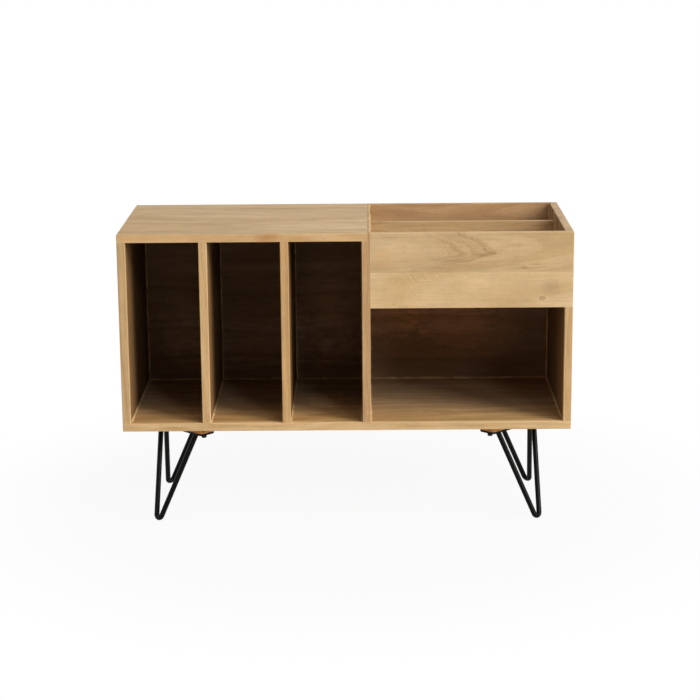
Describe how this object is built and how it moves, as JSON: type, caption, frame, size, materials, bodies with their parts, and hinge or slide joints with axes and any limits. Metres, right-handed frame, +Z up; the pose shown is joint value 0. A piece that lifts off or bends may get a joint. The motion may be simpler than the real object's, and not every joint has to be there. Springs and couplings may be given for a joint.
{
  "type": "record storage stand",
  "caption": "Wooden record console: upright slots, an open shelf bay and a divided top bin, carried on bent black hairpin rod legs.",
  "frame": {"origin": "on the floor under the middle of the cabinet", "axes": "+X towards the side with the bin, +Y towards the back, +Z up"},
  "size_m": [1.1, 0.45, 0.74],
  "materials": {
    "cabinet_wood": "pale mango-like hardwood, matt clear lacquer",
    "bin_front_wood": "paler flamed boards, matt clear lacquer",
    "leg_block_wood": "darker orange-brown hardwood, unfinished look",
    "dowel_wood": "plain turned beech, hidden",
    "rod_black": "satin black powder coat on round steel rod",
    "plate_black": "satin black powder coat on flat steel strip",
    "bolt_black": "blackened steel bolt"
  },
  "bodies": {
    "root": {"bottom_panel": "cabinet_wood", "top_panel": "cabinet_wood", "left_side_panel": "cabinet_wood", "right_side_panel": "cabinet_wood", "centre_panel": "cabinet_wood", "slot_divider_left": "cabinet_wood", "slot_divider_right": "cabinet_wood", "slot_back_panel": "cabinet_wood", "bay_back_panel": "cabinet_wood", "bin_front_lower_board": "bin_front_wood", "bin_front_upper_board": "bin_front_wood", "bin_floor_panel": "cabinet_wood", "bin_divider": "cabinet_wood", "dowel_left_foot_1": "dowel_wood", "dowel_left_top_1": "dowel_wood", "dowel_right_foot_1": "dowel_wood", "dowel_left_foot_2": "dowel_wood", "dowel_left_top_2": "dowel_wood", "dowel_right_foot_2": "dowel_wood", "dowel_left_foot_3": "dowel_wood", "dowel_left_top_3": "dowel_wood", "dowel_right_foot_3": "dowel_wood", "dowel_bin_front_lower_inner": "dowel_wood", "dowel_bin_front_lower_outer": "dowel_wood", "dowel_bin_front_upper_inner": "dowel_wood", "dowel_bin_front_upper_outer": "dowel_wood", "front_left_leg_block": "leg_block_wood", "front_left_mounting_plate": "plate_black", "front_left_hairpin_rod": "rod_black", "front_left_bolt_inner": "bolt_black", "front_left_bolt_middle": "bolt_black", "front_left_bolt_outer": "bolt_black", "front_right_leg_block": "leg_block_wood", "front_right_mounting_plate": "plate_black", "front_right_hairpin_rod": "rod_black", "front_right_bolt_inner": "bolt_black", "front_right_bolt_middle": "bolt_black", "front_right_bolt_outer": "bolt_black", "rear_left_leg_block": "leg_block_wood", "rear_left_mounting_plate": "plate_black", "rear_left_hairpin_rod": "rod_black", "rear_left_bolt_inner": "bolt_black", "rear_left_bolt_middle": "bolt_black", "rear_left_bolt_outer": "bolt_black", "rear_right_leg_block": "leg_block_wood", "rear_right_mounting_plate": "plate_black", "rear_right_hairpin_rod": "rod_black", "rear_right_bolt_inner": "bolt_black", "rear_right_bolt_middle": "bolt_black", "rear_right_bolt_outer": "bolt_black"}
  },
  "joints": []
}
